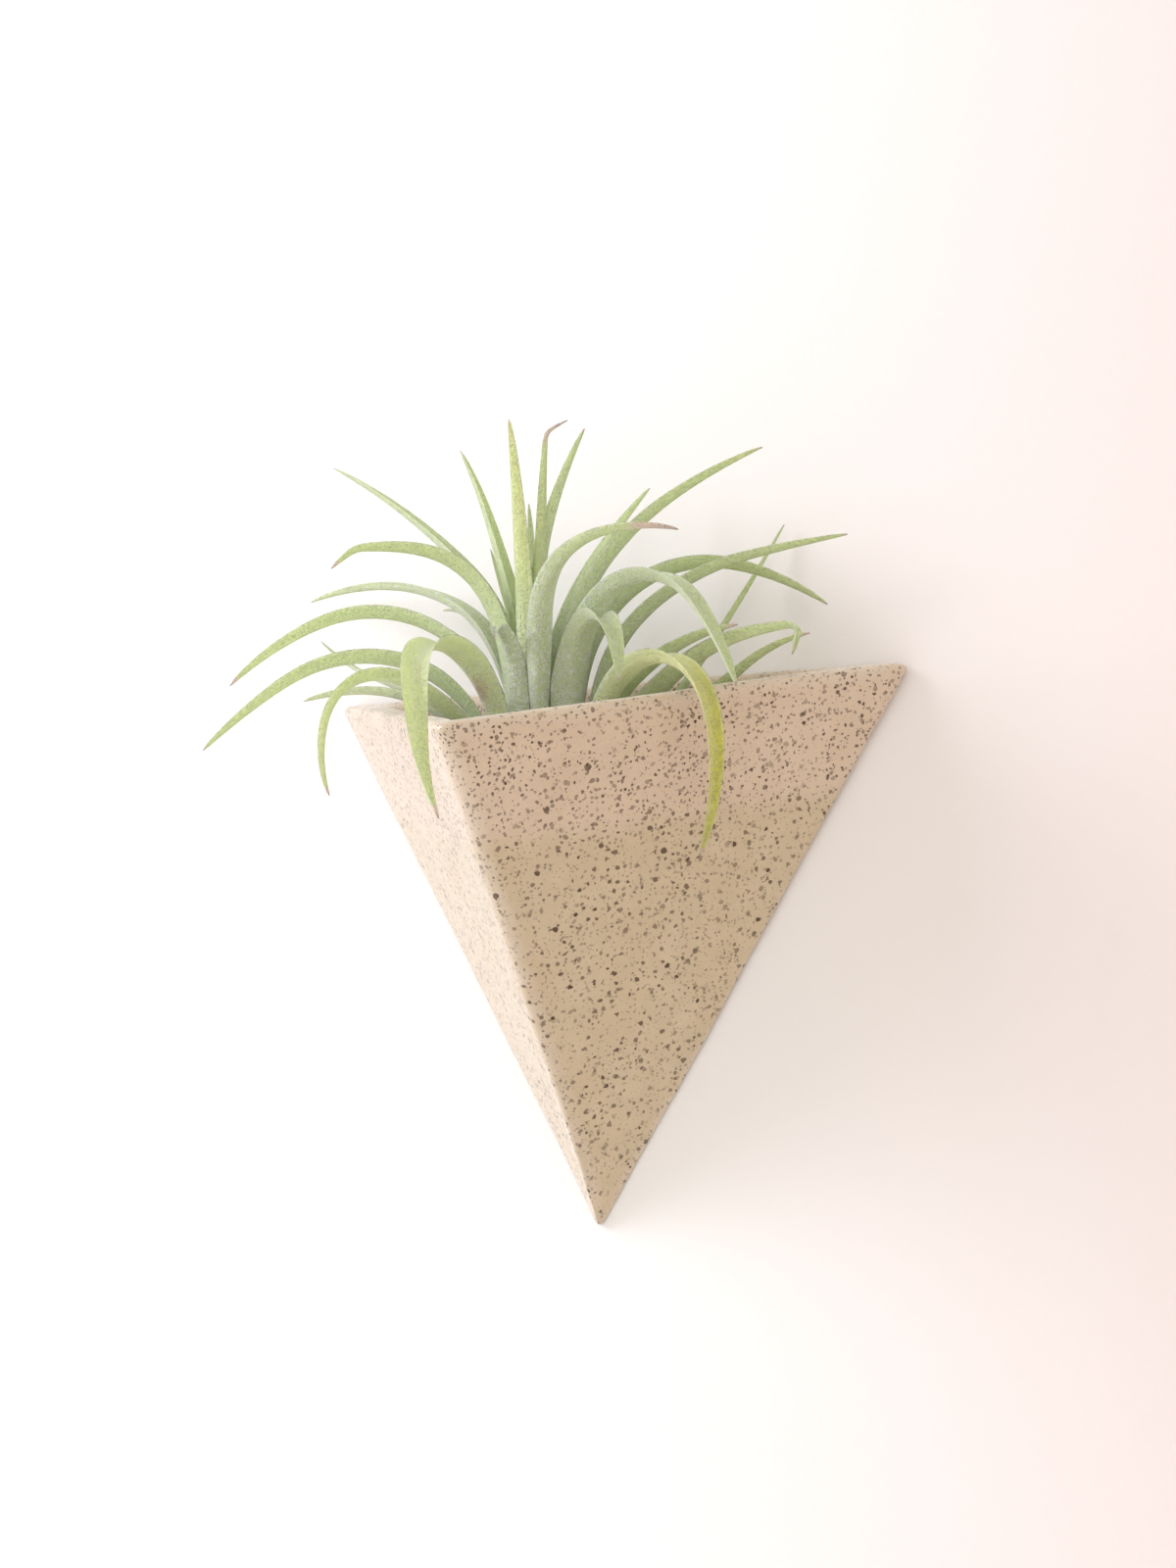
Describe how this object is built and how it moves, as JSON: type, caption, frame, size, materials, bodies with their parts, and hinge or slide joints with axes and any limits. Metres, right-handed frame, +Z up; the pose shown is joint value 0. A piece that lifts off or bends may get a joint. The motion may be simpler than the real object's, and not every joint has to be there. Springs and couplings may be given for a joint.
{
  "type": "wall-hung air plant holder",
  "caption": "Three-sided stoneware wall pocket shaped as an upside-down pyramid, with a leaning air plant seated loose in it.",
  "frame": {"origin": "middle of the hanging hole's mouth, on the wall plane behind the pocket", "axes": "+Z up, +X to the right as seen from the room, +Y into the wall, so the pocket stands out along -Y"},
  "size_m": [0.144, 0.0751, 0.1653],
  "materials": {
    "stoneware": "satin glaze",
    "leaf_green": "matt",
    "leaf_silver": "matt, downy",
    "bulb": "matt, scaly"
  },
  "bodies": {
    "holder": {"back_slab": "stoneware", "left_slab": "stoneware", "right_slab": "stoneware", "front_seam_coil": "stoneware", "left_seam_coil": "stoneware", "right_seam_coil": "stoneware"},
    "air_plant": {"plant_base": "bulb", "leaf_01": "leaf_green", "leaf_02": "leaf_green", "leaf_03": "leaf_green", "leaf_04": "leaf_green", "leaf_05": "leaf_green", "leaf_06": "leaf_green", "leaf_07": "leaf_green", "leaf_08": "leaf_green", "leaf_09": "leaf_green", "leaf_10": "leaf_silver", "leaf_11": "leaf_green", "leaf_12": "leaf_green", "leaf_13": "leaf_green", "leaf_14": "leaf_green", "leaf_15": "leaf_green", "leaf_16": "leaf_green", "leaf_17": "leaf_green", "leaf_18": "leaf_silver", "leaf_19": "leaf_green", "leaf_20": "leaf_green", "leaf_21": "leaf_green", "leaf_22": "leaf_silver", "leaf_23": "leaf_green", "leaf_24": "leaf_green", "leaf_25": "leaf_green", "leaf_26": "leaf_green", "leaf_27": "leaf_green", "leaf_28": "leaf_silver", "leaf_29": "leaf_green", "leaf_30": "leaf_green", "leaf_31": "leaf_green"}
  },
  "joints": [
    {"name": "plant_lift", "type": "slide", "parent": "holder", "child": "air_plant", "axis": [0, 0, 1], "range_m": [0, 0.08]}
  ]
}
